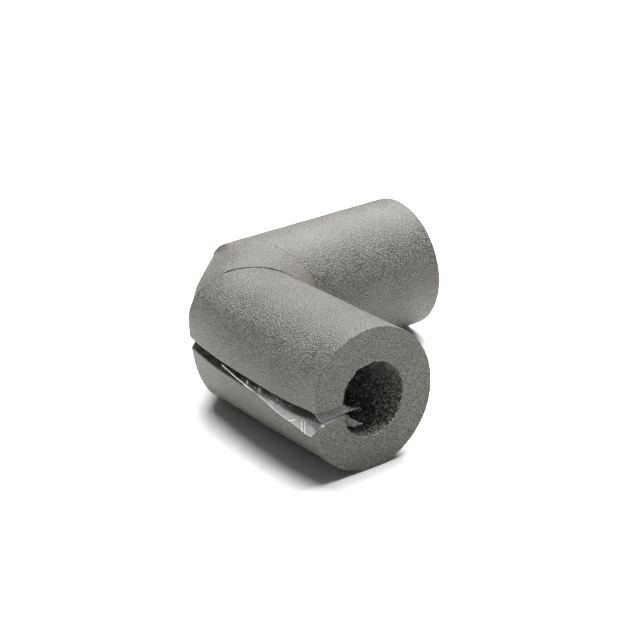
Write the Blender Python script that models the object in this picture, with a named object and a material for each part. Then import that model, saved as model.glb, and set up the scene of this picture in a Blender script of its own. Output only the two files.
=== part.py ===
"""Slit pipe insulation elbow: two foam tube legs joined by a mitred corner wedge, with film in the slit.

Metres, Z up. The near leg runs along -Y and the far leg along +X, on one level. The origin is under the
middle of the object's box. The parts hang on an empty at the corner where the legs' axes cross. Each section
is worked out in millimetres as (b, z): b runs from the tube's axis towards the outside of the bend, z upwards
from the axis.
"""

import math

import bmesh
import bpy
from mathutils import Matrix, Vector

MM = 0.001

# Tube section, mm.
BORE_RADIUS = 14.0
OUTER_RADIUS = 27.0

# Run of the elbow, mm. The legs are measured from the corner where their axes cross.
NEAR_LEG = 98.0
FAR_LEG = 91.0
WEDGE_LENGTH = 30.0
MITRE_SLOPE = math.tan(math.radians(22.5))
SEAM_GAP = 0.3

# Slit through the wall on the outside of the bend, mm from the axis.
SLIT_TOP = 1.7
SLIT_BOTTOM = -2.2

# Flattening of the wall beside the slit: deepest at the seams, fading along each leg, mm. It is whole where
# the wall is this far from the axis or farther.
FLATTEN_FROM = 20.0
FLATTEN_DEPTH = 6.5
FLATTEN_FADE = 33.0
FLATTEN_CENTRE = -2.5
FLATTEN_REACH = 22.0
END_DEPTH = 2.0
END_FADE = 12.0
END_CENTRE = -3.0
END_REACH = 16.0
LIP_DROOP = 1.6
LIP_DROOP_FADE = 10.0
LIP_DROOP_REACH = 2.0

# Release film, mm.
FILM_THICKNESS = 0.3
FILM_CLEARANCE = 0.3
LIP_CLEARANCE = 0.4
UPPER_FILM_OUT = 0.3
FILM_INNER_EDGE = 12.6
FILM_FOLD = 13.0
TAIL_LENGTH = 7.9
TAIL_RUN = 5.0
UPPER_TAIL_DROP = 2.8
LOWER_TAIL_DROP = 6.0
TURNED_DOWN = 0.8
FLAP_DEPTH = 4.9
FLAP_RUN = 29.0
FLAP_SHAPE = 0.7

# A distance that stands for no cut at all, mm, and the angle from which an edge is shaded sharp, degrees.
FAR_AWAY = 1000.0
SHARP_ANGLE = 35.0

ARC_STEPS = 40
LEG_STEPS = (0.0, 0.02, 0.05, 0.1, 0.16, 0.24, 0.34, 0.46, 0.58, 0.7, 0.82, 0.92, 1.0)
FAR_STEPS = tuple(1.0 - share for share in reversed(LEG_STEPS))
WEDGE_STEPS = (0.0, 0.25, 0.5, 0.75, 1.0)


def clear_scene():
    for obj in list(bpy.data.objects):
        bpy.data.objects.remove(obj, do_unlink=True)


def material(name, colour, roughness, alpha=1.0):
    made = bpy.data.materials.new(name)
    made.use_nodes = True
    shader = made.node_tree.nodes["Principled BSDF"]
    shader.inputs["Base Color"].default_value = (*colour, 1.0)
    shader.inputs["Roughness"].default_value = roughness
    shader.inputs["Metallic"].default_value = 0.0
    shader.inputs["Alpha"].default_value = alpha
    made.diffuse_color = (*colour, alpha)
    return made


def foam_material(name):
    """Grey closed-cell foam, matt."""
    return material(name, (0.30, 0.30, 0.305), 0.85)


def film_material(name):
    """Thin clear film."""
    return material(name, (0.85, 0.86, 0.87), 0.12, 0.35)


def ease(x):
    x = min(1.0, max(0.0, x))
    return x * x * (3.0 - 2.0 * x)


def bump(z, centre, reach):
    return max(0.0, 1.0 - ((z - centre) / reach) ** 2)


def inward(z, from_seam, from_end):
    """How far the wall beside the slit is drawn in, at full weight."""
    drawn = FLATTEN_DEPTH * math.exp(-from_seam / FLATTEN_FADE) * bump(z, FLATTEN_CENTRE, FLATTEN_REACH)
    drawn += END_DEPTH * math.exp(-((from_end / END_FADE) ** 2)) * bump(z, END_CENTRE, END_REACH)
    if z < 0.0:
        beside_slit = math.exp(-(((z - SLIT_BOTTOM) / LIP_DROOP_REACH) ** 2))
        drawn += LIP_DROOP * math.exp(-from_end / LIP_DROOP_FADE) * beside_slit
    return drawn


def shifted(b, z, from_seam, from_end):
    return b - ease(b / FLATTEN_FROM) * inward(z, from_seam, from_end)


def foam_section():
    """The split tube's outline before flattening: over the outside, then back round the bore."""
    points = []
    for radius, forward in ((OUTER_RADIUS, True), (BORE_RADIUS, False)):
        top = math.asin(SLIT_TOP / radius)
        low = math.asin(SLIT_BOTTOM / radius) + 2.0 * math.pi
        arc = []
        for i in range(ARC_STEPS + 1):
            angle = top + (low - top) * i / ARC_STEPS
            arc.append((radius * math.cos(angle), radius * math.sin(angle)))
        points.extend(arc if forward else reversed(arc))
    return points


class Segment:
    """A straight stretch of the elbow, cut by a plane at either end.

    Its own frame starts at the middle of its first cut, with X along its axis and Y to the outside of the bend.
    """

    def __init__(self, start, heading, length, start_slope, end_slope, seam_at_start, seam_at_end):
        self.start = Vector((*start, 0.0))
        self.heading = math.radians(heading)
        self.length = length
        self.start_slope = start_slope
        self.end_slope = end_slope
        self.seam_at_start = seam_at_start
        self.seam_at_end = seam_at_end

    def limits(self, b, gap, short):
        """Where a line at b starts and ends along the axis, less a gap at a seam and a shortfall at an open end."""
        low = self.start_slope * b + (gap if self.seam_at_start else short)
        high = self.length + self.end_slope * b - (gap if self.seam_at_end else short)
        return low, high

    def place(self, share, b, z, gap=0.0, short=0.0):
        """The point at this share of the way along, with the flattening put in, in the segment's own frame."""
        low, high = self.limits(b, gap, short)
        before = share * (high - low)
        after = (1.0 - share) * (high - low)
        from_seam = min(before if self.seam_at_start else FAR_AWAY, after if self.seam_at_end else FAR_AWAY)
        from_end = min(FAR_AWAY if self.seam_at_start else before, FAR_AWAY if self.seam_at_end else after)
        if self.seam_at_start and self.seam_at_end:
            from_seam = 0.0
        drawn = shifted(b, z, from_seam, from_end)
        low, high = self.limits(drawn, gap, short)
        return Vector((low + (high - low) * share, drawn, z))

    def film_ring(self, share, points):
        """The film's section at this share of the way along, in the elbow's frame."""
        turn = Matrix.Rotation(self.heading, 3, "Z")
        return [self.start + turn @ self.place(share, b, z, 0.0, FILM_CLEARANCE) for b, z in points]


def segments():
    """Near leg, wedge and far leg, each run away from the near open end."""
    seam = WEDGE_LENGTH * math.sqrt(0.5)
    near = Segment((0.0, -NEAR_LEG), 90.0, NEAR_LEG - seam, 0.0, MITRE_SLOPE, False, True)
    wedge = Segment((0.0, -seam), 45.0, WEDGE_LENGTH, -MITRE_SLOPE, MITRE_SLOPE, True, True)
    far = Segment((seam, 0.0), 0.0, FAR_LEG - seam, -MITRE_SLOPE, 0.0, True, False)
    return near, wedge, far


def loft(name, rings, surface, paired):
    """Closed solid through rings of equally many points. A paired end is filled between outside and bore."""
    mesh = bpy.data.meshes.new(name)
    built = bmesh.new()
    rows = [[built.verts.new(point * MM) for point in ring] for ring in rings]
    count = len(rings[0])
    for first, second in zip(rows, rows[1:]):
        for i in range(count):
            j = (i + 1) % count
            built.faces.new((first[i], first[j], second[j], second[i]))
    for row in (rows[0], rows[-1]):
        if paired:
            for i in range(count // 2 - 1):
                built.faces.new((row[i], row[i + 1], row[count - 2 - i], row[count - 1 - i]))
        else:
            built.faces.new(row)
    bmesh.ops.recalc_face_normals(built, faces=built.faces)
    built.to_mesh(mesh)
    built.free()
    mesh.shade_smooth()
    mesh.set_sharp_from_angle(angle=math.radians(SHARP_ANGLE))
    mesh.materials.append(surface)
    return bpy.data.objects.new(name, mesh)


def foam(name, segment, steps):
    """A foam segment, lofted in its own frame and turned into its place on the elbow."""
    outline = foam_section()
    rings = [[segment.place(share, b, z, SEAM_GAP / 2) for b, z in outline] for share in steps]
    made = loft(name, rings, foam_material(name + "_foam"), True)
    made.location = segment.start * MM
    made.rotation_euler.z = segment.heading
    return made


def film(name, section):
    """A strip of film along all three segments, lofted in the elbow's frame."""
    return loft(name, film_rings(section), film_material(name + "_clear"), False)


def lip_edge(z):
    """The outer edge of the slit wall at this height, before flattening."""
    return math.sqrt(OUTER_RADIUS**2 - z**2)


def film_rings(section):
    """Rings of a film from the near end on: section gives its (b, z) points for the distance from that end."""
    near, wedge, far = segments()
    rings = [near.film_ring(share, section(near.length * share)) for share in LEG_STEPS]
    rings += [wedge.film_ring(share, section(FAR_AWAY)) for share in WEDGE_STEPS[1:]]
    rings += [far.film_ring(share, section(FAR_AWAY)) for share in FAR_STEPS[1:]]
    return rings


def tail(run, drop):
    """How far the film reaches into the bore at its loose corner by the near end, and how far it hangs there."""
    share = max(0.0, 1.0 - run / TAIL_RUN)
    return TAIL_LENGTH * share, drop * share


def upper_film_section(run):
    """The strip under the upper face of the slit."""
    top = SLIT_TOP - FILM_CLEARANCE
    low = top - FILM_THICKNESS
    reach, drop = tail(run, UPPER_TAIL_DROP)
    outer = lip_edge(SLIT_TOP) + UPPER_FILM_OUT
    return [
        (FILM_INNER_EDGE - reach, low - drop),
        (FILM_FOLD, low),
        (outer, low),
        (outer, top),
        (FILM_FOLD, top),
        (FILM_INNER_EDGE - reach, top - drop),
    ]


def lower_film_section(run):
    """The strip on the lower face of the slit, turned down over the lip. Near the open end it hangs as a flap."""
    low = SLIT_BOTTOM + FILM_CLEARANCE
    top = low + FILM_THICKNESS
    reach, drop = tail(run, LOWER_TAIL_DROP)
    bottom = low - TURNED_DOWN - FLAP_DEPTH * ease(1.0 - run / FLAP_RUN) ** FLAP_SHAPE
    middle = (low + bottom) / 2
    inside = LIP_CLEARANCE
    outside = inside + FILM_THICKNESS
    return [
        (FILM_INNER_EDGE - reach, low - drop),
        (FILM_FOLD, low),
        (lip_edge(low) + inside, low),
        (lip_edge(middle) + inside, middle),
        (lip_edge(bottom) + inside, bottom),
        (lip_edge(bottom) + outside, bottom),
        (lip_edge(middle) + outside, middle),
        (lip_edge(top) + outside, top),
        (FILM_FOLD, top),
        (FILM_INNER_EDGE - reach, top - drop),
    ]


def under_middle(parts):
    """The spot under the middle of the parts' box."""
    bpy.context.view_layer.update()
    points = [part.matrix_world @ vertex.co for part in parts for vertex in part.data.vertices]
    low = [min(point[i] for point in points) for i in range(3)]
    high = [max(point[i] for point in points) for i in range(3)]
    return Vector(((low[0] + high[0]) / 2, (low[1] + high[1]) / 2, low[2]))


def main():
    clear_scene()
    collection = bpy.data.collections.new("pipe_insulation_elbow")
    bpy.context.scene.collection.children.link(collection)
    elbow = bpy.data.objects.new("elbow", None)
    collection.objects.link(elbow)
    near, wedge, far = segments()
    parts = [
        foam("near_leg", near, LEG_STEPS),
        foam("corner_wedge", wedge, WEDGE_STEPS),
        foam("far_leg", far, FAR_STEPS),
        film("upper_film", upper_film_section),
        film("lower_film", lower_film_section),
    ]
    for part in parts:
        part.parent = elbow
        collection.objects.link(part)
    elbow.location = -under_middle(parts)


main()
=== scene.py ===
"""The slit foam pipe elbow as it looks: grained skin, cut ends, pebbly bore, sticky slit and crinkled film.

Shapes are worked out in millimetres from the elbow's corner, where the two legs' axes cross, and set in
the frame's metres at the end. A section point is (b, z): b runs from a tube's axis to the outside of the
bend and z upwards from the axis. Run is the distance along the slit's lips from the near end. An angle
round a section is 0 at the heel, outside the bend, a quarter turn at the top and a half turn at the throat.
"""

import math

import bpy
import numpy as np
from mathutils import Matrix, Vector


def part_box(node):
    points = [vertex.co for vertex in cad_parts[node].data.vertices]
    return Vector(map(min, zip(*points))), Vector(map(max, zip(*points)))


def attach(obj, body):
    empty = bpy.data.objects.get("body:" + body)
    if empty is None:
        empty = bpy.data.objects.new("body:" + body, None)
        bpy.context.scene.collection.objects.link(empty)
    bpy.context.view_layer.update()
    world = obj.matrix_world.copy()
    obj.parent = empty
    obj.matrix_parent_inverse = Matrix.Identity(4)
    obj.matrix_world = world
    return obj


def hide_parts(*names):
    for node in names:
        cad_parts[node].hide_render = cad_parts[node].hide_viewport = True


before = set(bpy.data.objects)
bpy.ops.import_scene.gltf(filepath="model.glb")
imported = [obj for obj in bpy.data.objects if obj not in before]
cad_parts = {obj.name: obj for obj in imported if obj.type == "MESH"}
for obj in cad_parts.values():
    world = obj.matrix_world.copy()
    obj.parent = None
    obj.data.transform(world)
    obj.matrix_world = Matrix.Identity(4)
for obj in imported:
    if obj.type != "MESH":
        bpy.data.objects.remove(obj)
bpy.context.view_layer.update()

MM = 0.001

# The tube and the run of the elbow, mm.
BORE_RADIUS = 14.0
OUTER_RADIUS = 27.0
NEAR_LEG = 98.0
FAR_LEG = 91.0
WEDGE_LENGTH = 30.0
MITRE_SLOPE = math.tan(math.radians(22.5))

# The wedge lies at 45 degrees: this share of a length along it goes along X, and as much along Y.
DIAGONAL = math.sqrt(0.5)
SEAM = WEDGE_LENGTH * DIAGONAL

# The corner's place in the frame, m, the ground's height from it and the foam's least height over that, mm.
near_low, near_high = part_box("near_leg")
_, far_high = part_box("far_leg")
ORIGIN = np.array([far_high.x - FAR_LEG * MM, near_low.y + NEAR_LEG * MM, near_high.z - OUTER_RADIUS * MM])
FLOOR = -ORIGIN[2] / MM
FLOOR_CLEARANCE = 0.01

# The slit in the outside of the bend, mm.
SLIT_TOP = 1.7
SLIT_BOTTOM = -2.2
LIP_ROUND = 0.6

# The wall beside the slit is drawn in towards a seam, mm: in full beside the outer lips, and less towards
# the axis. A pair is a ramp, as (where it starts, its width), here and below.
FLATTEN_DEPTH = 6.5
FLATTEN_FADE = 33.0
FLATTEN_CENTRE = -2.5
FLATTEN_REACH = 22.0
FLATTEN_B = (0.0, 20.0)
FAR_AWAY = 1000.0

# It is drawn in towards an open end too, where the lower lip also droops, mm. The bore takes less of it
# than the skin does.
END_DEPTH = 2.0
END_FADE = 12.0
END_CENTRE = -3.0
END_REACH = 16.0
END_B = (8.0, 14.0)
LIP_DROOP = 1.6
LIP_DROOP_FADE = 10.0
LIP_DROOP_REACH = 2.0

# Rounding of the edges, mm, as (on the skin, elsewhere).
CUT_EDGE = (0.35, 0.25)
NEAR_SEAM_EDGE = (0.5, 0.2)
WEDGE_EDGE = (0.3, 0.2)
FAINT_EDGE = 0.05

# The near seam, mm. At the heel the near leg's edge is rounder, and both sides share a dent.
# Over the top the wedge's edge is rounder and has a groove, whose side is a ramp of distance. The other
# ramps here are of angle.
NEAR_SEAM_GAP = 0.1
AT_HEEL = (math.radians(62.0), -0.5)
HEEL_ROUNDER = 0.3
HEEL_DENT = 1.1
HEEL_DENT_RUN = 9.0
HEEL_DENT_CENTRE = math.radians(49.0)
HEEL_DENT_REACH = math.radians(26.0)
OVER_TOP = (math.radians(40.0), math.radians(90.0))
TOP_ROUNDER = 1.3
TO_THROAT = (math.radians(185.0), -0.6)
GROOVE_DEPTH = 1.0
GROOVE_OPENS = (math.radians(50.0), 0.65)
GROOVE_SIDE = (0.5, 0.45)

# The far seam, mm. The wedge's skin rises to the far leg's round beside it, over ramps along X, Y and Z.
FAR_SEAM_GAP = 0.02
SHOULDER_X = (9.2, 4.0)
SHOULDER_Y = (3.0, 7.0)
SHOULDER_Z = (15.0, 7.0)

# Mesh spacing of the foam, mm: fine beside an edge, growing to coarse.
FINE_STEP = 0.12
STEP_GROWTH = 1.45
COARSE_STEP = 0.75

# Points that a lip's rounding and a round wall are first drawn with, the angle from which an edge is shaded
# as sharp, and the least length that is divided by.
LIP_POINTS = 24
WALL_POINTS = 400
SHARP_ANGLE = math.radians(50.0)
TINY = 1e-12

# Kinds of surface of the foam, and how many rows of faces on a cut end carry glue beside the slit.
SKIN, SLIT, BORE, CUT = range(4)
GLUED_RIM = 3

# Unevenness of each kind of surface, as (bump size, height) pairs in mm, and the seeds set aside for a kind.
ROUGHNESS = {
    SKIN: ((17.0, 0.12), (5.0, 0.05), (2.0, 0.035), (1.1, 0.02)),
    SLIT: ((6.0, 0.1), (2.0, 0.05)),
    BORE: ((9.0, 0.15), (2.6, 0.12), (1.3, 0.1)),
    CUT: ((9.0, 0.06), (2.2, 0.03), (1.1, 0.03)),
}
KIND_SEEDS = 10

# The bore's rim at an open end is ragged, mm: bumps as above, and how far in it reaches.
RAGGED_RIM = ((2.1, 0.4), (1.0, 0.3))
RAGGED_REACH = 1.6
RAGGED_SEED = 71

# Rows of a film: their spacing in mm near the end, and their numbers farther on. Then the points across it,
# and the points and reach with which its line is smoothed.
CREASED_RUN = 12.0
CREASED_STEP = 0.12
FLAP_RUN = 30.0
FLAP_STEP = 0.3
NEAR_ROWS = 110
WEDGE_ROWS = 80
FAR_ROWS = 130
FILM_POINTS = 64
SMOOTHED_POINTS = 160
SMOOTHED_REACH = 7

# Release film: where it turns into the bore and its distance from a slit face, mm.
FILM_FOLD = 13.3
FILM_OFF = 0.35

# Height of the lower film's outer edge along the slit, (run, z) in mm. It is a flap over the lip near the
# end, then rises across the slit to the upper lip and goes inside.
LOWER_EDGE = (
    (0, -2.6), (1.4, -5.3), (2.9, -7.3), (4.3, -8.3), (5.8, -8.2), (8.6, -7.6), (11.5, -6.6), (14.7, -5.6),
    (18, -5.4), (20.7, -5.1), (23.7, -4.1), (26.7, -2.9), (29, -2.3), (34, -1.2), (37, -0.8), (40, -0.5),
    (47, 0.0), (57, 1.45), (66, 0.6), (80, 0.0), (230, -0.4),
)

# The flap's ramp along the run, and how far it stands off the skin, mm: usual, and more at the near end.
FLAP_ENDS = (31.0, -9.0)
FLAP_STAND = 0.45
NEAR_STAND = 0.9
NEAR_STAND_ENDS = (9.0, -9.0)

# Past the flap the lower film's edge goes inside the slit, and before that it stands out a little, mm.
INSIDE = 5.0
INSIDE_STARTS = (57.5, 8.0)
STOOD_OUT = 0.4
STOOD_OUT_ENDS = (44.0, -4.0)

# How far the upper film stands out of the slit, (run, reach) in mm: a small loop shows at the corner.
UPPER_OUT = ((0, -0.3), (3, -0.5), (10, -4.0), (82, -4.0), (88, 2.4), (92, 2.2), (98, -3.0), (230, -4.0))

# The upper film's near edge curls down across the slit, mm, and by this share of that at the lip.
CURL = 2.7
CURL_RUN = 1.8
CURL_AT_LIP = 0.95

# Where the films' inner edges hang in the bore beside the near end: (run, b, z) in mm.
LOWER_INNER = (
    (0, 4.6, -7.9), (2, 7.2, -9.0), (4, 9.8, -8.6), (6.5, 11.9, -5.6), (9, 12.9, -2.1), (230, 12.9, -2.0),
)
UPPER_INNER = ((0, 5.0, -1.6), (2, 8.0, -1.4), (4.5, 11.5, 0.6), (7, 12.9, 1.3), (230, 12.9, 1.3))

# A film bends between its inner edge and its fold: this share of the edge's b and this much more, mm, and
# this share of the slit face's height.
BEND_SHARE = 0.55
BEND_MORE = 6.0
BEND_RISE = 0.4

# Points of a film's section, mm. It lies flat up to these distances short of the lip, and turns over the
# lip this far off it.
LOWER_FLAT = 8.0
UPPER_FLAT = (6.0, 2.0)
OVER_LIP = 0.15

# The flap turns down this far below the slit face. The risen part starts short of the lip, just off the
# face, and stands out past it below its edge and at its edge.
FLAP_TURN = 1.3
RISE_START = 1.8
RISE_LIFT = 0.1
RISE_LENGTH = 1.2
RISE_OUT = 0.5
RISE_OUT_EDGE = 0.65

# A film's slackness: little on the flap, more inside the slit away from the near end. Its waves and its
# crinkles are (size, height) in mm, and a crinkle is narrowed by a power.
LEAST_SLACK = 0.04
MORE_SLACK = 0.9
SLACK_RUN = (6.0, 20.0)
SLACK_TO_LIP = (-0.5, 1.5)
WAVES = ((6.0, 0.16), (2.8, 0.07))
CRINKLES = ((3.4, 0.6), (1.6, 0.35))
CRINKLE_POWER = 4

# Painted light on a film: painted sheen past the lip, and painted light inside the slit's mouth, where the
# film lies in shade. Each has ramps out from the lip and along the run, mm.
PAINTED_SHEEN = 0.2
PAINTED_SHEEN_OUT = (-0.2, 3.2)
PAINTED_SHEEN_RUN = (-0.5, 2.0)
MOUTH_PAINTED_LIGHT = 0.75
MOUTH_STARTS = (-3.8, 3.0)
MOUTH_ENDS = (-0.6, 1.4)
MOUTH_RUN = (12.0, 9.0)
MOUTH_RUN_ENDS = (52.0, -8.0)

# Painted highlight along a film's outer edge, (run, share), over this width in mm.
EDGE_PAINTED_HIGHLIGHT = (
    (0, 0.0), (2, 0.5), (20, 0.42), (30, 0.7), (36, 1.0), (41, 1.0), (45, 0.55), (50, 0.35), (58, 0.12),
    (230, 0.1),
)
EDGE_WIDTH = 0.9

# Creases across the flap: (run at the lip, slant, half width, height, first and last distance past the lip)
# in mm. They fade in and out over a short way, and each carries a painted highlight along its line.
CREASES = (
    (6.8, 0.0, 0.24, 0.3, 0.8, 9.0), (8.0, 0.05, 0.24, 0.35, 0.8, 9.0), (6.4, 2.3, 0.6, 0.2, 1.7, 9.0),
)
CREASE_FADE = 0.8

# Pinches in the film at the slit, each with a painted glint: (run, distance past the lip, reach, height) in
# mm.
# They are longer along the run by this factor.
PINCHES = (
    (0.5, 0.3, 0.5, 0.3), (17.6, -2.5, 0.28, 0.6), (21.7, -2.0, 0.22, 0.5), (24.5, -1.9, 0.32, 0.7),
    (28.0, -2.6, 0.25, 0.6), (34.6, -1.2, 0.5, 1.75), (38.0, -1.3, 0.3, 1.1), (43.0, -1.2, 0.45, 1.6),
)
PINCH_STRETCH = 1.5

# A line or dot is at its full strength up to a share of its reach, and gone a whole reach farther out.
# A fold is painted white, as a painted highlight, by more than its share.
SPOT_EDGE = 1.2
FOLD_GAIN = 1.5

# A film stands past the near end, mm. It does so over this run, at least so much, more where b is past
# a place, and less on the flap by a share.
OVERHANG_RUN = 9.0
LEAST_OVERHANG = 0.3
OVERHANG_B = (19.0, 4.0)
ON_FLAP = (0.5, 5.0)
LESS_ON_FLAP = 0.75

# The bore is painted paler low down, as painted light, between these heights above the ground, mm.
BORE_PAINTED_LIGHT_LOW = 14.0
BORE_PAINTED_LIGHT_HIGH = 27.0

# The far leg's skin is flatter and duller: the change lies between these places along Y, m, down to this
# share of the bump and up by this much roughness.
SMOOTHER_FROM_TO = (0.010, 0.045)
FAR_BUMP = 0.45
FAR_DULLER = 0.09

# Darkest and lightest level of each surface's greys, the last being the bore's painted light low down.
SKIN_GREYS = (0.028, 0.202)
CUT_GREYS = (0.018, 0.262)
BORE_GREYS = (0.04, 0.36)
BORE_PAINTED_LIGHT_GREYS = (0.09, 0.8)

# How warm the greys are, and how much of that warmth is taken from green and from blue.
SKIN_WARMTH = 0.22
CUT_WARMTH = 0.14
BORE_WARMTH = 0.12
GREEN_SHARE = 0.25
BLUE_SHARE = 1.15

# Darkest and lightest colours of the glue, the film and the floor, and the film's where its painted light is
# full.
GLUE_COLOURS = ((0.08, 0.074, 0.055), (0.16, 0.146, 0.106))
FILM_COLOURS = ((0.38, 0.385, 0.385), (0.46, 0.46, 0.455))
FILM_PAINTED_LIGHT_COLOUR = (0.95, 0.95, 0.94, 1.0)
FLOOR_COLOURS = ((0.93, 0.93, 0.93), (0.95, 0.95, 0.95))

# Light: a dim even world and a broad overhead sun, which comes from this direction. The floor reaches this
# far to each side, m.
WORLD_STRENGTH = 0.11
SUN_STRENGTH = 8.4
SUN_SPREAD = math.radians(58.0)
SUN_FROM = (0.36, 0.26, 1.0)
FLOOR_HALF = 4.0

# The camera's place in mm, its turns in radians, its lens and film width in mm, and its reach in m.
CAMERA_PLACE = (-393.7, -530.8, 309.0)
CAMERA_YAW = 0.6278
CAMERA_PITCH = 0.4013
CAMERA_ROLL = -0.0377
CAMERA_LENS = 104.8
CAMERA_FILM = 36.0
CAMERA_REACH = 20.0

# The steps and mixers of the repeatable noise.
WORD = 0xFFFFFFFF
FRACTION = 0xFFFFFF
STEP_X, STEP_Y, STEP_Z, STEP_SEED = 73856093, 19349663, 83492791, 2654435761
MIXERS = ((15, 2246822519), (13, 3266489917))
LAST_SHIFT = 16


def ease(x):
    """A smooth step from 0 at 0 to 1 at 1."""
    x = np.clip(x, 0.0, 1.0)
    return x * x * (3.0 - 2.0 * x)


def ramp(value, start, width):
    """0 up to start and 1 from a width past it, eased between. A negative width turns it round."""
    return ease((value - start) / width)


def spot(distance, reach):
    """1 in the middle of a line or dot of this reach, and 0 a little outside it."""
    return ease(SPOT_EDGE - distance / reach)


def hashed(x, y, z, seed):
    """A repeatable value from 0 to 1 for each whole-number place."""
    mixed = x * STEP_X ^ y * STEP_Y ^ z * STEP_Z ^ (seed * STEP_SEED)
    mixed = mixed & WORD
    for shift, mixer in MIXERS:
        mixed = ((mixed ^ (mixed >> shift)) * mixer) & WORD
    return ((mixed ^ (mixed >> LAST_SHIFT)) & FRACTION) / float(FRACTION)


def noise(points, size, seed):
    """Smooth noise from -1 to 1 over points, with bumps about this size."""
    scaled = np.asarray(points, float) / size
    low = np.floor(scaled).astype(np.int64)
    part = ease(scaled - low)
    total = np.zeros(len(scaled))
    for corner in range(8):
        step = np.array([corner & 1, corner >> 1 & 1, corner >> 2 & 1])
        weight = np.prod(np.where(step == 1, part, 1.0 - part), axis=1)
        at = low + step
        total += weight * hashed(at[:, 0], at[:, 1], at[:, 2], seed)
    return total * 2.0 - 1.0


def graded(length):
    """Distances from 0 to length, closely spaced at both ends."""
    steps = [FINE_STEP]
    while steps[-1] < COARSE_STEP:
        steps.append(steps[-1] * STEP_GROWTH)
    middle = max(1, round((length - 2.0 * sum(steps)) / COARSE_STEP))
    widths = steps + [COARSE_STEP] * middle + steps[::-1]
    places = np.concatenate([[0.0], np.cumsum(widths)])
    return places * (length / places[-1])


def seam_inward(z, from_seam):
    """How far the wall beside the slit is drawn in towards a seam, at full weight."""
    near_slit = np.maximum(0.0, 1.0 - ((z - FLATTEN_CENTRE) / FLATTEN_REACH) ** 2)
    return FLATTEN_DEPTH * np.exp(-from_seam / FLATTEN_FADE) * near_slit


def end_inward(z, from_end):
    """How far the wall beside the slit is drawn in towards an open end, at full weight."""
    near_slit = np.maximum(0.0, 1.0 - ((z - END_CENTRE) / END_REACH) ** 2)
    droop = np.where(z < 0.0, np.exp(-(((z - SLIT_BOTTOM) / LIP_DROOP_REACH) ** 2)), 0.0)
    drawn = END_DEPTH * np.exp(-((from_end / END_FADE) ** 2)) * near_slit
    return drawn + LIP_DROOP * np.exp(-from_end / LIP_DROOP_FADE) * droop


class Segment:
    """A straight stretch of the elbow with its own axis.

    A slope is that of the mitre at that end, and 0 for an open end. The gaps are those left at its ends.
    """

    def __init__(self, start, direction, length, start_slope, end_slope, gaps):
        self.start = np.array([*start, 0.0])
        self.along = np.array([*direction, 0.0])
        self.heel = np.array([-direction[1], direction[0], 0.0])
        self.length = length
        self.start_slope = start_slope
        self.end_slope = end_slope
        self.gaps = gaps

    def limits(self, b, gapped=False):
        """Where the stretch starts and ends at this b, along its axis."""
        low = self.start_slope * b + self.gaps[0] / 2 * gapped
        high = self.length + self.end_slope * b - self.gaps[1] / 2 * gapped
        return low, high

    def distances(self, share, b):
        """From the start's and the end's cutting planes, along the axis."""
        low, high = self.limits(b)
        return share * (high - low), (1.0 - share) * (high - low)

    def drawn(self, share, b, z):
        """b with the flattening put in."""
        before, after = self.distances(share, b)
        if self.start_slope and self.end_slope:
            from_seam, from_end = np.zeros_like(before), np.full_like(before, FAR_AWAY)
        elif self.end_slope:
            from_seam, from_end = after, before
        else:
            from_seam, from_end = before, after
        beside_seam = ramp(b, *FLATTEN_B) * seam_inward(z, from_seam)
        beside_end = ramp(b, *END_B) * end_inward(z, from_end)
        return b - beside_seam - beside_end

    def place(self, share, b, z, gapped=False, past=0.0):
        """Points this share of the way along, moved on along the axis by past."""
        b = self.drawn(share, b, z)
        low, high = self.limits(b, gapped)
        at = low + (high - low) * share + past
        point = self.start + self.along * at[..., None] + self.heel * b[..., None]
        point[..., 2] += z
        return point


SEAM_GAPS = (NEAR_SEAM_GAP, FAR_SEAM_GAP)
NEAR = Segment((0.0, -NEAR_LEG), (0.0, 1.0), NEAR_LEG - SEAM, 0.0, MITRE_SLOPE, (0.0, NEAR_SEAM_GAP))
WEDGE = Segment((0.0, -SEAM), (DIAGONAL, DIAGONAL), WEDGE_LENGTH, -MITRE_SLOPE, MITRE_SLOPE, SEAM_GAPS)
FAR = Segment((SEAM, 0.0), (1.0, 0.0), FAR_LEG - SEAM, -MITRE_SLOPE, 0.0, (FAR_SEAM_GAP, 0.0))


def arc(centre, radius, start, end, count=LIP_POINTS):
    """Section points round a centre from one angle to another."""
    angles = np.linspace(start, end, count)
    return np.stack([centre[0] + radius * np.cos(angles), centre[1] + radius * np.sin(angles)], axis=1)


def lip_corner(radius, face, outer):
    """Centre of the rounding where a slit face meets a round wall, and the angle where it meets the wall."""
    side = 1.0 if face > 0.0 else -1.0
    z = face + side * LIP_ROUND
    b = math.sqrt((radius + (-LIP_ROUND if outer else LIP_ROUND)) ** 2 - z * z)
    return (b, z), math.atan2(z, b)


def resampled(line, places):
    """Points at these shares of a line's length."""
    run = np.concatenate([[0.0], np.cumsum(np.linalg.norm(np.diff(line, axis=0), axis=1))])
    at = places / places[-1] * run[-1]
    return np.stack([np.interp(at, run, line[:, 0]), np.interp(at, run, line[:, 1])], axis=1)


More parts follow.
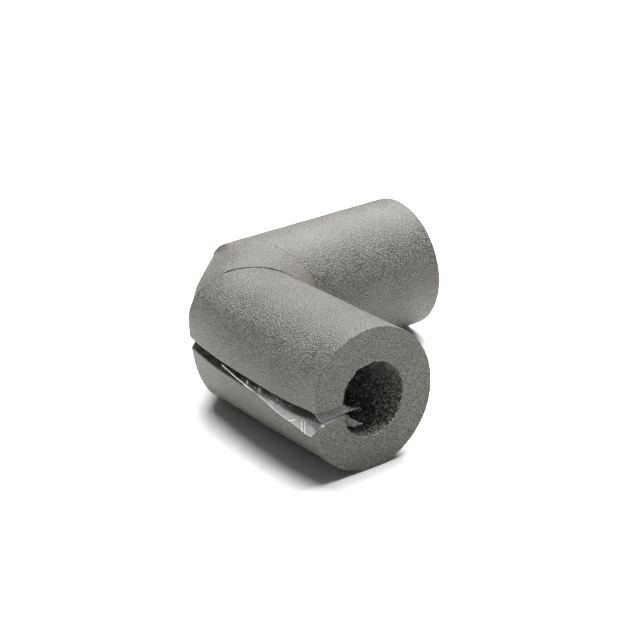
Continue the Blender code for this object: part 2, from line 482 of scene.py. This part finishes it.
def section():
    """The split tube's outline with rounded lips, as four sides: outside, lower lip, bore and upper lip."""
    upper_out, upper_out_angle = lip_corner(OUTER_RADIUS, SLIT_TOP, True)
    lower_out, lower_out_angle = lip_corner(OUTER_RADIUS, SLIT_BOTTOM, True)
    upper_in, upper_in_angle = lip_corner(BORE_RADIUS, SLIT_TOP, False)
    lower_in, lower_in_angle = lip_corner(BORE_RADIUS, SLIT_BOTTOM, False)
    turn = 2.0 * math.pi
    down, up = -math.pi / 2, math.pi / 2
    half_upper_out = (down + upper_out_angle) / 2
    half_lower_out = (up + lower_out_angle) / 2
    half_lower_in = (up + lower_in_angle + math.pi) / 2
    half_upper_in = (down + upper_in_angle - math.pi) / 2
    outside = np.concatenate([
        arc(upper_out, LIP_ROUND, half_upper_out, upper_out_angle),
        arc((0, 0), OUTER_RADIUS, upper_out_angle, lower_out_angle + turn, WALL_POINTS)[1:-1],
        arc(lower_out, LIP_ROUND, lower_out_angle, half_lower_out),
    ])
    lower_lip = np.concatenate([
        arc(lower_out, LIP_ROUND, half_lower_out, up),
        arc(lower_in, LIP_ROUND, up, half_lower_in),
    ])
    bore = np.concatenate([
        arc(lower_in, LIP_ROUND, half_lower_in, lower_in_angle + math.pi),
        arc((0, 0), BORE_RADIUS, lower_in_angle + turn, upper_in_angle, WALL_POINTS)[1:-1],
        arc(upper_in, LIP_ROUND, upper_in_angle - math.pi, half_upper_in),
    ])
    upper_lip = np.concatenate([
        arc(upper_in, LIP_ROUND, half_upper_in, down),
        arc(upper_out, LIP_ROUND, down, half_upper_out),
    ])
    round_places = graded(2.0 * math.pi * OUTER_RADIUS)
    lip_places = graded(OUTER_RADIUS - BORE_RADIUS)
    sides = ((outside, round_places), (lower_lip, lip_places), (bore, round_places), (upper_lip, lip_places))
    return [resampled(side, places)[:-1] for side, places in sides]


def outward(outline):
    """Unit normals of a closed outline, pointing out of the foam."""
    run = np.roll(outline, -1, axis=0) - np.roll(outline, 1, axis=0)
    normal = np.stack([run[:, 1], -run[:, 0]], axis=1)
    return normal / np.linalg.norm(normal, axis=1, keepdims=True)


def rounding(distance, radius):
    """How far an edge of this radius has fallen back at a distance from the cut."""
    short = np.clip(radius - distance, 0.0, radius)
    return radius - np.sqrt(np.maximum(radius**2 - short**2, 0.0))


def patch(sides):
    """Grid of points between four sides in order, each without its last point, blended from both pairs."""
    first, second, third, fourth = sides
    across, deep = len(first), len(second)
    top = np.concatenate([first, second[:1]])
    low = np.concatenate([third, fourth[:1]])[::-1]
    right = np.concatenate([second, third[:1]])
    left = np.concatenate([fourth, first[:1]])[::-1]
    u = np.linspace(0.0, 1.0, across + 1)[None, :, None]
    v = np.linspace(0.0, 1.0, deep + 1)[:, None, None]
    corners = (1 - u) * (1 - v) * top[0] + u * (1 - v) * top[-1] + u * v * low[-1] + (1 - u) * v * low[0]
    return (1 - v) * top + v * low + (1 - u) * left[:, None] + u * right[:, None] - corners


def mesh_object(name, points, faces, kinds, surfaces):
    """An object from points in mm, quads, each quad's kind, and the surfaces that the kinds stand for."""
    mesh = bpy.data.meshes.new(name)
    mesh.vertices.add(len(points))
    mesh.vertices.foreach_set("co", (points * MM + ORIGIN).ravel())
    mesh.loops.add(faces.size)
    mesh.loops.foreach_set("vertex_index", faces.ravel().astype(np.int32))
    mesh.polygons.add(len(faces))
    mesh.polygons.foreach_set("loop_start", np.arange(0, faces.size, faces.shape[1], dtype=np.int32))
    for surface in surfaces:
        mesh.materials.append(surface)
    mesh.polygons.foreach_set("material_index", kinds.astype(np.int32))
    mesh.update(calc_edges=True)
    mesh.validate()
    mesh.shade_smooth()
    mesh.set_sharp_from_angle(angle=SHARP_ANGLE)
    obj = bpy.data.objects.new(name, mesh)
    bpy.context.scene.collection.objects.link(obj)
    return obj


def vertex_normals(points, faces):
    """Unit normals of the points of a mesh of quads."""
    corners = points[faces]
    face = np.cross(corners[:, 2] - corners[:, 0], corners[:, 3] - corners[:, 1])
    normal = np.zeros_like(points)
    for i in range(faces.shape[1]):
        np.add.at(normal, faces[:, i], face)
    return normal / np.maximum(np.linalg.norm(normal, axis=1, keepdims=True), TINY)


def foam_rings(segment, sides, edges):
    """Rings of the segment from start to end, falling back beside both ends as the edge profiles say."""
    outline = np.concatenate(sides)
    normal = outward(outline)
    angle = np.arctan2(outline[:, 1], outline[:, 0])
    on_skin = np.arange(len(outline)) < len(sides[0])
    rings = []
    shares = graded(segment.length) / segment.length
    for share in shares:
        before, after = segment.distances(share, outline[:, 0])
        fallen = edges[0](before, angle, on_skin) + edges[1](after, angle, on_skin)
        inset = outline - normal * fallen[:, None]
        ring = segment.place(share, inset[:, 0], inset[:, 1], True)
        rings.append(carried_on(ring, on_skin) if segment is WEDGE else ring)
    return rings


def carried_on(ring, on_skin):
    """A ring of the wedge, with its skin beside the far leg raised to the far leg's round as a shoulder."""
    x, y, z = ring.T
    from_axis = np.hypot(y, z)
    share = ramp(x, *SHOULDER_X) * ramp(y, *SHOULDER_Y) * ramp(z, *SHOULDER_Z) * on_skin
    raised = 1.0 + share * np.maximum(OUTER_RADIUS - from_axis, 0.0) / np.maximum(from_axis, 1.0)
    return ring * np.stack([np.ones(len(ring)), raised, raised], axis=1)


def end_grid(sides, rim, first, next_free):
    """Points inside a cut end and the index of every point of its grid. The rim's points start at first."""
    across, deep = len(sides[0]), len(sides[1])
    count = len(rim)
    index = np.full((deep + 1, across + 1), -1)
    index[0] = np.arange(across + 1)
    index[:, -1] = across + np.arange(deep + 1)
    index[-1] = 2 * across + deep - np.arange(across + 1)
    index[:, 0] = (count - np.arange(deep + 1)) % count
    inner = index < 0
    index += first
    index[inner] = next_free + np.arange(inner.sum())
    grid = patch(np.split(rim, np.cumsum([len(side) for side in sides])[:-1]))
    return grid[inner], index


def grid_quads(index):
    """Quads between the points of a grid of indices."""
    corners = [index[:-1, :-1], index[1:, :-1], index[1:, 1:], index[:-1, 1:]]
    return np.stack(corners, axis=-1).reshape(-1, len(corners))


def cut_kinds(sides):
    """A cut end is bare foam, but for the glue on its rim along the lower face of the slit."""
    across, deep = len(sides[0]), len(sides[1])
    kinds = np.full((deep, across), CUT)
    kinds[:, -GLUED_RIM:] = SLIT
    return kinds.ravel()


def foam_shape(segment, edges):
    """The foam segment as points, quads and the kind of surface of each quad."""
    sides = section()
    rings = foam_rings(segment, sides, edges)
    count = len(rings[0])
    here = np.arange(count)
    ahead = (here + 1) % count
    side_kinds = (SKIN, SLIT, BORE, SLIT)
    around = np.concatenate([np.full(len(side), kind) for side, kind in zip(sides, side_kinds)])
    points, faces, kinds = [*rings], [], []
    for i in range(len(rings) - 1):
        base, above = i * count, (i + 1) * count
        faces.append(np.stack([base + here, base + ahead, above + ahead, above + here], axis=1))
        kinds.append(around)
    made = len(rings) * count
    for ring, towards_end in ((0, False), (len(rings) - 1, True)):
        inside, index = end_grid(sides, rings[ring], ring * count, made)
        made += len(inside)
        quads = grid_quads(index)
        points.append(inside)
        faces.append(quads[:, ::-1] if towards_end else quads)
        kinds.append(cut_kinds(sides))
    return np.concatenate(points), np.concatenate(faces), np.concatenate(kinds)


def roughened(points, faces, kinds, near_open, seed):
    """The points moved in and out a little and kept off the floor. near_open is 1 at an open end's rim."""
    normal = vertex_normals(points, faces)
    share = np.zeros((len(points), len(ROUGHNESS)))
    for i in range(faces.shape[1]):
        np.add.at(share, (faces[:, i], kinds), 1.0)
    share /= share.sum(axis=1, keepdims=True)
    moved = np.zeros(len(points))
    for kind, layers in ROUGHNESS.items():
        for number, (size, height) in enumerate(layers):
            moved += share[:, kind] * height * noise(points, size, seed + KIND_SEEDS * kind + number)
    ragged = np.zeros(len(points))
    for number, (size, height) in enumerate(RAGGED_RIM):
        ragged += height * noise(points, size, seed + RAGGED_SEED + number)
    moved += share[:, BORE] * near_open * ragged
    points = points + normal * moved[:, None]
    points[:, 2] = np.maximum(points[:, 2], FLOOR + FLOOR_CLEARANCE)
    return points


def cut_edge(distance, angle, on_skin):
    """An open end's edge, just broken."""
    return rounding(distance, np.where(on_skin, *CUT_EDGE))


def faint_edge(distance, angle, on_skin):
    """An edge at the far seam, hardly rounded."""
    return rounding(distance, FAINT_EDGE)


def heel_dent(distance, angle, on_skin):
    """A shallow dent that the weld leaves on both sides of the near seam, above the heel."""
    around = ease(1.0 - np.abs(angle - HEEL_DENT_CENTRE) / HEEL_DENT_REACH)
    return HEEL_DENT * around * ease(1.0 - distance / HEEL_DENT_RUN) * on_skin


def near_seam_edge(distance, angle, on_skin):
    """The near leg's edge at the corner: crisp over the top, rounder at the heel."""
    on_the_skin, elsewhere = NEAR_SEAM_EDGE
    at_heel = ramp(np.abs(angle), *AT_HEEL)
    rounded = rounding(distance, np.where(on_skin, on_the_skin + HEEL_ROUNDER * at_heel, elsewhere))
    return rounded + heel_dent(distance, angle, on_skin)


def wedge_near_edge(distance, angle, on_skin):
    """The wedge dips to the near leg in a narrow groove. The dip widens from the top to the throat."""
    on_the_skin, elsewhere = WEDGE_EDGE
    over_top = ramp(angle, *OVER_TOP) * ramp(np.abs(angle), *TO_THROAT)
    open_here = ramp(angle, *GROOVE_OPENS) * ramp(np.abs(angle), *TO_THROAT)
    groove = GROOVE_DEPTH * open_here * (1.0 - ramp(distance, *GROOVE_SIDE))
    rounded = rounding(distance, np.where(on_skin, on_the_skin + TOP_ROUNDER * over_top, elsewhere))
    return rounded + groove * on_skin + heel_dent(distance, angle, on_skin)


def heel_length(segment):
    """Length of a segment along the slit's lips."""
    low, high = segment.limits(OUTER_RADIUS)
    return high - low


def film_stations():
    """(segment, share, run) for every row of a film."""
    near, wedge, far = heel_length(NEAR), heel_length(WEDGE), heel_length(FAR)
    creased = np.arange(0.0, CREASED_RUN, CREASED_STEP)
    flap = np.arange(CREASED_RUN, FLAP_RUN, FLAP_STEP)
    rest = np.linspace(FLAP_RUN, near, NEAR_ROWS)
    made = [(NEAR, run / near, run) for run in np.concatenate([creased, flap, rest])]
    made += [(WEDGE, share, near + share * wedge) for share in np.linspace(0.0, 1.0, WEDGE_ROWS)[1:]]
    made += [(FAR, share, near + wedge + share * far) for share in np.linspace(0.0, 1.0, FAR_ROWS)[1:]]
    return made


def table(run, pairs):
    """The value at this run, between those of the (run, value) pairs."""
    places, values = zip(*pairs)
    return float(np.interp(run, places, values))


def wall(z):
    """The outer wall's b at this height."""
    return math.sqrt(OUTER_RADIUS**2 - z * z)


def smooth_line(points, count):
    """Evenly spaced points on a line through these, with its corners eased."""
    dense = resampled(np.array(points), np.linspace(0.0, 1.0, SMOOTHED_POINTS))
    reach = SMOOTHED_REACH
    before, after = np.repeat(dense[:1], reach, axis=0), np.repeat(dense[-1:], reach, axis=0)
    padded = np.concatenate([before, dense, after])
    kernel = np.ones(2 * reach + 1) / (2 * reach + 1)
    eased = np.stack([np.convolve(padded[:, i], kernel, "valid") for i in range(2)], axis=1)
    eased[0], eased[-1] = dense[0], dense[-1]
    return resampled(eased, np.linspace(0.0, 1.0, count))


def inner_points(run, spots, face_z):
    """A film's first points: its edge in the bore, the bend after it and its fold into the slit."""
    places, across, heights = zip(*spots)
    b, z = float(np.interp(run, places, across)), float(np.interp(run, places, heights))
    bend = (BEND_SHARE * b + BEND_MORE, (1.0 - BEND_RISE) * z + BEND_RISE * face_z)
    return [(b, z), bend, (FILM_FOLD, face_z)]


def lower_line(run, count):
    """The lower film's section: along the slit's lower face, then over the lip as a flap or up its mouth."""
    face_z = SLIT_BOTTOM + FILM_OFF
    edge_z = table(run, LOWER_EDGE)
    lip = wall(face_z)
    flap = float(ramp(run, *FLAP_ENDS))
    stand = FLAP_STAND + NEAR_STAND * float(ramp(run, *NEAR_STAND_ENDS))
    turned_z = face_z - FLAP_TURN
    hanging = [
        (lip + OVER_LIP, face_z + OVER_LIP),
        (wall(turned_z) + FLAP_STAND, turned_z),
        (wall(edge_z) + stand, edge_z),
    ]
    inside = INSIDE * float(ramp(run, *INSIDE_STARTS)) - STOOD_OUT * float(ramp(run, *STOOD_OUT_ENDS))
    below_edge = max(face_z + OVER_LIP, edge_z - RISE_LENGTH)
    risen = [
        (lip - RISE_START - inside, face_z + RISE_LIFT),
        (lip + RISE_OUT - inside, below_edge),
        (lip + RISE_OUT_EDGE - inside, edge_z),
    ]
    outer = flap * np.array(hanging) + (1.0 - flap) * np.array(risen)
    inner = [*inner_points(run, LOWER_INNER, face_z), (lip - LOWER_FLAT, face_z)]
    return smooth_line([*inner, *outer], count)


def upper_line(run, count):
    """The upper film's section: along the slit's upper face, curled down across the slit at the near end."""
    face_z = SLIT_TOP - FILM_OFF
    lip = wall(face_z)
    curl = CURL * float(ease(1.0 - run / CURL_RUN))
    out = table(run, UPPER_OUT)
    points = inner_points(run, UPPER_INNER, face_z - curl)
    points += [(lip - back, face_z - curl) for back in UPPER_FLAT]
    points.append((lip + out, face_z - CURL_AT_LIP * curl - OVER_LIP))
    return smooth_line(points, count)


def walk_to_lip(path, walked):
    """Distance along the film to where it first passes the wall, or to its end if it stays inside."""
    beyond = np.flatnonzero(np.hypot(path[:, 0], path[:, 1]) > OUTER_RADIUS)
    if not len(beyond):
        return walked[-1]
    before = np.hypot(*path[beyond[0] - 1])
    after = np.hypot(*path[beyond[0]])
    return np.interp(OUTER_RADIUS, (before, after), walked[beyond[0] - 1 : beyond[0] + 1])


def film_lift(run, walked, past_lip, seed):
    """How far the points of a row are lifted off the film's line by its waves and crinkles."""
    spots = np.stack([np.full(len(walked), run), walked, np.zeros(len(walked))], axis=1)
    slack = LEAST_SLACK + MORE_SLACK * ramp(run, *SLACK_RUN) * (1.0 - ramp(past_lip, *SLACK_TO_LIP))
    waves, crinkles = np.zeros(len(walked)), np.zeros(len(walked))
    for number, (size, height) in enumerate(WAVES):
        waves += height * noise(spots, size, seed + number)
    for number, (size, height) in enumerate(CRINKLES):
        crinkles += height * np.abs(noise(spots, size, seed + len(WAVES) + number)) ** CRINKLE_POWER
    return (waves + crinkles) * slack


def film_painted_light(run, walked, past_lip):
    """How much painted light a row carries: painted sheen past the lip, painted light inside the slit's
    mouth and a painted highlight along its outer edge.
    """
    painted_sheen = PAINTED_SHEEN * ramp(past_lip, *PAINTED_SHEEN_OUT) * ramp(run, *PAINTED_SHEEN_RUN)
    mouth_painted_light = MOUTH_PAINTED_LIGHT * ramp(past_lip, *MOUTH_STARTS) * (1.0 - ramp(past_lip, *MOUTH_ENDS))
    mouth_painted_light *= ramp(run, *MOUTH_RUN) * ramp(run, *MOUTH_RUN_ENDS)
    edge = table(run, EDGE_PAINTED_HIGHLIGHT) * spot(walked[-1] - walked, EDGE_WIDTH)
    return np.maximum(np.maximum(painted_sheen, mouth_painted_light), edge)


def film_folds(run, past_lip):
    """(share, height) of each crease and pinch on a row."""
    folds = []
    for place, slant, width, height, first, last in CREASES:
        held = ramp(past_lip, first, CREASE_FADE) * ramp(past_lip, last, -CREASE_FADE)
        off = np.abs(run - place - slant * past_lip)
        folds.append((np.maximum(0.0, 1.0 - off / width) * held, height))
    for place, past, reach, height in PINCHES:
        folds.append((spot(np.hypot((run - place) / PINCH_STRETCH, past_lip - past), reach), height))
    return folds


def film_row(path, run, overhang, seed):
    """A row's (b, z) points with lift and folds, how far each stands past its station, and how much painted
    light each carries, with painted highlights on the folds.
    """
    step = np.gradient(path, axis=0)
    step /= np.linalg.norm(step, axis=1, keepdims=True)
    normal = np.stack([-step[:, 1], step[:, 0]], axis=1)
    walked = np.concatenate([[0.0], np.cumsum(np.linalg.norm(np.diff(path, axis=0), axis=1))])
    past_lip = walked - walk_to_lip(path, walked)
    lift = film_lift(run, walked, past_lip, seed)
    painted_light = film_painted_light(run, walked, past_lip)
    for share, height in film_folds(run, past_lip):
        lift += height * share
        painted_light = np.maximum(painted_light, ease(FOLD_GAIN * share))
    path = path + normal * lift[:, None]
    fade = max(0.0, 1.0 - run / OVERHANG_RUN) ** 2
    more = overhang * ramp(path[:, 0], *OVERHANG_B) * (1.0 - LESS_ON_FLAP * ramp(past_lip, *ON_FLAP))
    return path, -fade * (LEAST_OVERHANG + more), painted_light


def film_shape(line, overhang, seed):
    """A strip of film through the line of every station. It stands past the near end by overhang."""
    rows, painted_lights = [], []
    for segment, share, run in film_stations():
        path, past, painted_light = film_row(line(run, FILM_POINTS), run, overhang, seed)
        rows.append(segment.place(share, path[:, 0], path[:, 1], False, past))
        painted_lights.append(painted_light)
    grid = np.array(rows)
    index = np.arange(len(grid) * FILM_POINTS).reshape(len(grid), FILM_POINTS)
    return grid.reshape(-1, 3), grid_quads(index), np.concatenate(painted_lights)


class Surface:
    """A material being put together from nodes, placed by the object's own metres."""

    def __init__(self, name):
        self.material = bpy.data.materials.new(name)
        self.material.use_nodes = True
        self.tree = self.material.node_tree
        self.tree.nodes.clear()
        self.shader = self.add("ShaderNodeBsdfPrincipled")
        self.add("ShaderNodeOutputMaterial", {"Surface": self.shader.outputs["BSDF"]})
        self.place = self.add("ShaderNodeTexCoord").outputs["Object"]

    def add(self, kind, inputs=None, **settings):
        """A new node with these inputs and settings."""
        node = self.tree.nodes.new(kind)
        for name, value in settings.items():
            setattr(node, name, value)
        for name, value in (inputs or {}).items():
            self.put(node, name, value)
        return node

    def put(self, node, name, value):
        """Link a node's input to a socket, or set it to a value."""
        if isinstance(value, bpy.types.NodeSocket):
            self.tree.links.new(value, node.inputs[name])
        else:
            node.inputs[name].default_value = value

    def set(self, **inputs):
        """Put sockets or values into the shader's inputs, named with underscores for spaces."""
        for name, value in inputs.items():
            self.put(self.shader, name.replace("_", " "), value)

    def grain(self, size_mm, detail):
        """Soft noise with bumps about this size."""
        inputs = {"Vector": self.place, "Scale": 1.0 / (size_mm * MM), "Detail": detail}
        return self.add("ShaderNodeTexNoise", inputs).outputs["Fac"]

    def vector(self, operation, inputs):
        """The result of one step of vector maths."""
        return self.add("ShaderNodeVectorMath", inputs, operation=operation).outputs[0]

    def warped(self, size_mm, shift_mm):
        """The place moved about by noise, so that cells aren't too regular."""
        inputs = {"Vector": self.place, "Scale": 1.0 / (size_mm * MM), "Detail": 1.0}
        colour = self.add("ShaderNodeTexNoise", inputs).outputs["Color"]
        shift = self.vector("ADD", {0: colour, 1: (-0.5, -0.5, -0.5)})
        small = self.vector("SCALE", {0: shift, "Scale": 2.0 * shift_mm * MM})
        return self.vector("ADD", {0: self.place, 1: small})

    def cells(self, size_mm, place, feature="F1"):
        """Distance from the middle of the cell round a place, or from its edge with that feature."""
        inputs = {"Vector": place, "Scale": 1.0 / (size_mm * MM)}
        return self.add("ShaderNodeTexVoronoi", inputs, feature=feature).outputs["Distance"]

    def ranged(self, value, low, high, to_low=0.0, to_high=1.0):
        """The value taken from one range to another, and held inside it."""
        inputs = {"Value": value, "From Min": low, "From Max": high, "To Min": to_low, "To Max": to_high}
        return self.add("ShaderNodeMapRange", inputs).outputs["Result"]

    def sum(self, *weighted):
        """The sum of (value, weight) pairs."""
        total = None
        for value, weight in weighted:
            part = self.add("ShaderNodeMath", {0: value, 1: weight}, operation="MULTIPLY").outputs[0]
            total = part if total is None else self.add("ShaderNodeMath", {0: total, 1: part}).outputs[0]
        return total

    def mixed(self, factor, first, second):
        """A colour between two, by factor. The node's colour sockets are its seventh and eighth."""
        return self.add("ShaderNodeMix", {0: factor, 6: first, 7: second}, data_type="RGBA").outputs[2]

    def tone(self, factor, dark, light):
        """A colour between a dark and a light one, by factor."""
        return self.mixed(factor, (*dark, 1.0), (*light, 1.0))

    def bump(self, height, depth_mm, strength=1.0):
        """Let a height from 0 to 1 show as relief of this depth."""
        inputs = {"Height": height, "Distance": depth_mm * MM, "Strength": strength}
        self.set(Normal=self.add("ShaderNodeBump", inputs).outputs["Normal"])


def warm(levels, warmth):
    """Greys of these levels with their green and blue held back, blue the most."""
    green, blue = 1.0 - GREEN_SHARE * warmth, 1.0 - BLUE_SHARE * warmth
    return [(level, level * green, level * blue) for level in levels]


def skin_material():
    """Moulded outer skin: pebbled by closed cells, matt, with faint mottling."""
    made = Surface("foam_skin")
    place = made.warped(size_mm=0.9, shift_mm=0.2)
    pebbles = made.ranged(made.cells(size_mm=0.52, place=place), 0.0, 0.7, 1.0, 0.0)
    fine = made.grain(size_mm=0.42, detail=1.0)
    middle = made.grain(size_mm=1.3, detail=1.0)
    broad = made.grain(size_mm=14.0, detail=3.0)
    away = made.add("ShaderNodeSeparateXYZ", {"Vector": made.place}).outputs["Y"]
    strength = made.ranged(away, *SMOOTHER_FROM_TO, 1.0, FAR_BUMP)
    made.bump(made.sum((pebbles, 0.75), (fine, 0.45), (middle, 0.22)), depth_mm=0.3, strength=strength)
    speckle = made.sum((pebbles, 0.4), (fine, 0.6))
    factor = made.sum((made.ranged(speckle, 0.38, 0.62), 0.88), (made.ranged(broad, 0.35, 0.65), 0.12))
    made.set(Base_Color=made.tone(factor, *warm(SKIN_GREYS, SKIN_WARMTH)))
    duller = made.ranged(away, *SMOOTHER_FROM_TO, 0.0, FAR_DULLER)
    usual = made.ranged(fine, 0.3, 0.7, 0.46, 0.56)
    made.set(Roughness=made.sum((usual, 1.0), (duller, 1.0)), Specular_IOR_Level=0.9)
    return made.material


def cut_material():
    """Sawn foam: open cells as fine pits between paler walls."""
    made = Surface("foam_cut")
    place = made.warped(size_mm=0.9, shift_mm=0.25)
    from_wall = made.cells(size_mm=0.62, place=place, feature="DISTANCE_TO_EDGE")
    walls = made.ranged(from_wall, 0.0, 0.22, 1.0, 0.0)
    fine = made.grain(size_mm=0.42, detail=1.0)
    middle = made.grain(size_mm=1.2, detail=2.0)
    made.bump(made.sum((walls, 0.4), (fine, 0.6), (middle, 0.3)), depth_mm=0.4)
    speckle = made.sum((walls, 0.2), (fine, 0.8))
    factor = made.sum((made.ranged(speckle, 0.36, 0.6), 0.8), (made.ranged(middle, 0.3, 0.7), 0.2))
    made.set(Base_Color=made.tone(factor, *warm(CUT_GREYS, CUT_WARMTH)))
    made.set(Roughness=0.8, Specular_IOR_Level=0.35)
    return made.material


def bore_material():
    """Inside skin: coarser pebbles with a slight gloss, painted paler low down as painted light."""
    made = Surface("foam_bore")
    place = made.warped(size_mm=1.6, shift_mm=0.4)
    pebbles = made.ranged(made.cells(size_mm=1.05, place=place), 0.0, 0.75, 1.0, 0.0)
    fine = made.grain(size_mm=0.5, detail=1.0)
    made.bump(made.sum((pebbles, 0.7), (fine, 0.5)), depth_mm=0.8)
    speckle = made.ranged(made.sum((pebbles, 0.45), (fine, 0.55)), 0.4, 0.66)
    height = made.add("ShaderNodeSeparateXYZ", {"Vector": made.place}).outputs["Z"]
    # Painted light: the bore is painted paler towards its bottom, standing in for light that reaches it
    # there.
    painted_light_low_down = made.ranged(height, BORE_PAINTED_LIGHT_HIGH * MM, BORE_PAINTED_LIGHT_LOW * MM)
    usual = made.tone(speckle, *warm(BORE_GREYS, BORE_WARMTH))
    painted_lit_tone = made.tone(speckle, *warm(BORE_PAINTED_LIGHT_GREYS, BORE_WARMTH))
    made.set(Base_Color=made.mixed(painted_light_low_down, usual, painted_lit_tone))
    made.set(Roughness=made.ranged(fine, 0.35, 0.65, 0.22, 0.45), Specular_IOR_Level=0.8)
    return made.material


def slit_material():
    """Slit face under its coat of clear yellowish glue."""
    made = Surface("slit_glue")
    blobs = made.grain(size_mm=2.4, detail=3.0)
    fine = made.grain(size_mm=0.6, detail=2.0)
    made.bump(made.sum((blobs, 0.7), (fine, 0.3)), depth_mm=0.2)
    made.set(Base_Color=made.tone(made.ranged(blobs, 0.35, 0.65), *GLUE_COLOURS))
    made.set(Roughness=made.ranged(fine, 0.3, 0.7, 0.25, 0.45), Specular_IOR_Level=0.5)
    return made.material


def film_material():
    """Clear release film, faintly hazy at random, and painted near white where its painted light marks
    sheen, highlights and glints.
    """
    made = Surface("release_film")
    haze = made.grain(size_mm=4.0, detail=1.0)
    scuffs = made.grain(size_mm=0.9, detail=1.0)
    # Painted light: the film's painted sheen, highlights and glints, read from the mesh, make it whiter and
    # more opaque.
    painted_light = made.add("ShaderNodeAttribute", attribute_name="painted_light").outputs["Fac"]
    made.bump(made.sum((haze, 0.2), (scuffs, 0.006)), depth_mm=0.25)
    plain = made.tone(made.ranged(haze, 0.3, 0.7), *FILM_COLOURS)
    made.set(Base_Color=made.mixed(painted_light, plain, FILM_PAINTED_LIGHT_COLOUR))
    made.set(Roughness=made.ranged(scuffs, 0.3, 0.7, 0.12, 0.2), Specular_IOR_Level=0.8)
    made.set(Alpha=made.sum((made.ranged(haze, 0.35, 0.7, 0.34, 0.42), 1.0), (painted_light, 0.5)))
    return made.material


def floor_material():
    """White backdrop."""
    made = Surface("white_floor")
    made.set(Base_Color=made.tone(made.grain(size_mm=300.0, detail=2.0), *FLOOR_COLOURS))
    made.set(Roughness=0.9, Specular_IOR_Level=0.1)
    return made.material


def dress_foam():
    """The three foam segments, each standing for its CAD node."""
    surfaces = [skin_material(), slit_material(), bore_material(), cut_material()]
    # (name, CAD node, segment, open end along its axis in mm, edge profiles, seed)
    pieces = (
        ("near_leg_foam", "near_leg", NEAR, -NEAR_LEG, (cut_edge, near_seam_edge), 100),
        ("corner_wedge_foam", "corner_wedge", WEDGE, None, (wedge_near_edge, faint_edge), 200),
        ("far_leg_foam", "far_leg", FAR, FAR_LEG, (faint_edge, cut_edge), 200),
    )
    for name, node, segment, open_end, edges, seed in pieces:
        points, faces, kinds = foam_shape(segment, edges)
        near_open = 0.0
        if segment is not WEDGE:
            near_open = np.exp(-(np.abs(points @ segment.along - open_end) / RAGGED_REACH))
        points = roughened(points, faces, kinds, near_open, seed)
        piece = mesh_object(name, points, faces, kinds, surfaces)
        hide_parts(node)
        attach(piece, "root")


def dress_film():
    """The two strips of release film, each standing for its CAD node."""
    clear = film_material()
    # (name, CAD node, line, overhang past the near end in mm, seed)
    films = (
        ("lower_release_film", "lower_film", lower_line, 2.3, 500),
        ("upper_release_film", "upper_film", upper_line, 0.5, 600),
    )
    for name, node, line, overhang, seed in films:
        points, faces, painted_light = film_shape(line, overhang, seed)
        piece = mesh_object(name, points, faces, np.zeros(len(faces)), [clear])
        # The film's painted sheen, highlights and glints go on the mesh as a point attribute.
        painted_light_layer = piece.data.attributes.new("painted_light", "FLOAT", "POINT")
        painted_light_layer.data.foreach_set("value", painted_light.astype(np.float32))
        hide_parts(node)
        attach(piece, "root")


def add_floor():
    """The studio floor, a stage piece that isn't part of the object."""
    mesh = bpy.data.meshes.new("studio_floor")
    half = FLOOR_HALF
    corners = [(-half, -half, 0), (half, -half, 0), (half, half, 0), (-half, half, 0)]
    mesh.from_pydata(corners, [], [(0, 1, 2, 3)])
    mesh.materials.append(floor_material())
    floor = bpy.data.objects.new("studio_floor", mesh)
    bpy.context.scene.collection.objects.link(floor)


def aim(obj, target):
    """Turn a light's beam to a point."""
    obj.rotation_mode = "QUATERNION"
    obj.rotation_quaternion = (Vector(target) - obj.location).to_track_quat("-Z", "Y")


def add_lights():
    """The even world and the sun."""
    scene = bpy.context.scene
    world = bpy.data.worlds.new("studio")
    world.use_nodes = True
    background = world.node_tree.nodes["Background"]
    background.inputs["Color"].default_value = (1.0, 1.0, 1.0, 1.0)
    background.inputs["Strength"].default_value = WORLD_STRENGTH
    scene.world = world
    sun = bpy.data.objects.new("overhead_sun", bpy.data.lights.new("overhead_sun", "SUN"))
    sun.data.energy = SUN_STRENGTH
    sun.data.angle = SUN_SPREAD
    sun.location = Vector(SUN_FROM)
    aim(sun, (0.0, 0.0, 0.0))
    scene.collection.objects.link(sun)


def add_camera():
    """The photograph's view: yaw from +Y towards +X, pitch down, and a slight roll."""
    yaw, pitch, roll = CAMERA_YAW, CAMERA_PITCH, CAMERA_ROLL
    ahead = Vector((math.sin(yaw) * math.cos(pitch), math.cos(yaw) * math.cos(pitch), -math.sin(pitch)))
    level = Vector((math.cos(yaw), -math.sin(yaw), 0.0))
    upright = level.cross(ahead)
    right = math.cos(roll) * level + math.sin(roll) * upright
    up = math.cos(roll) * upright - math.sin(roll) * level
    camera = bpy.data.objects.new("camera", bpy.data.cameras.new("camera"))
    turned = Matrix((right, up, -ahead)).transposed().to_4x4()
    camera.matrix_world = Matrix.Translation(Vector(CAMERA_PLACE) * MM) @ turned
    camera.data.lens = CAMERA_LENS
    camera.data.sensor_width = CAMERA_FILM
    camera.data.clip_end = CAMERA_REACH
    bpy.context.scene.collection.objects.link(camera)
    bpy.context.scene.camera = camera


dress_foam()
dress_film()
add_floor()
add_lights()
add_camera()
bpy.context.scene.view_settings.view_transform = "Standard"
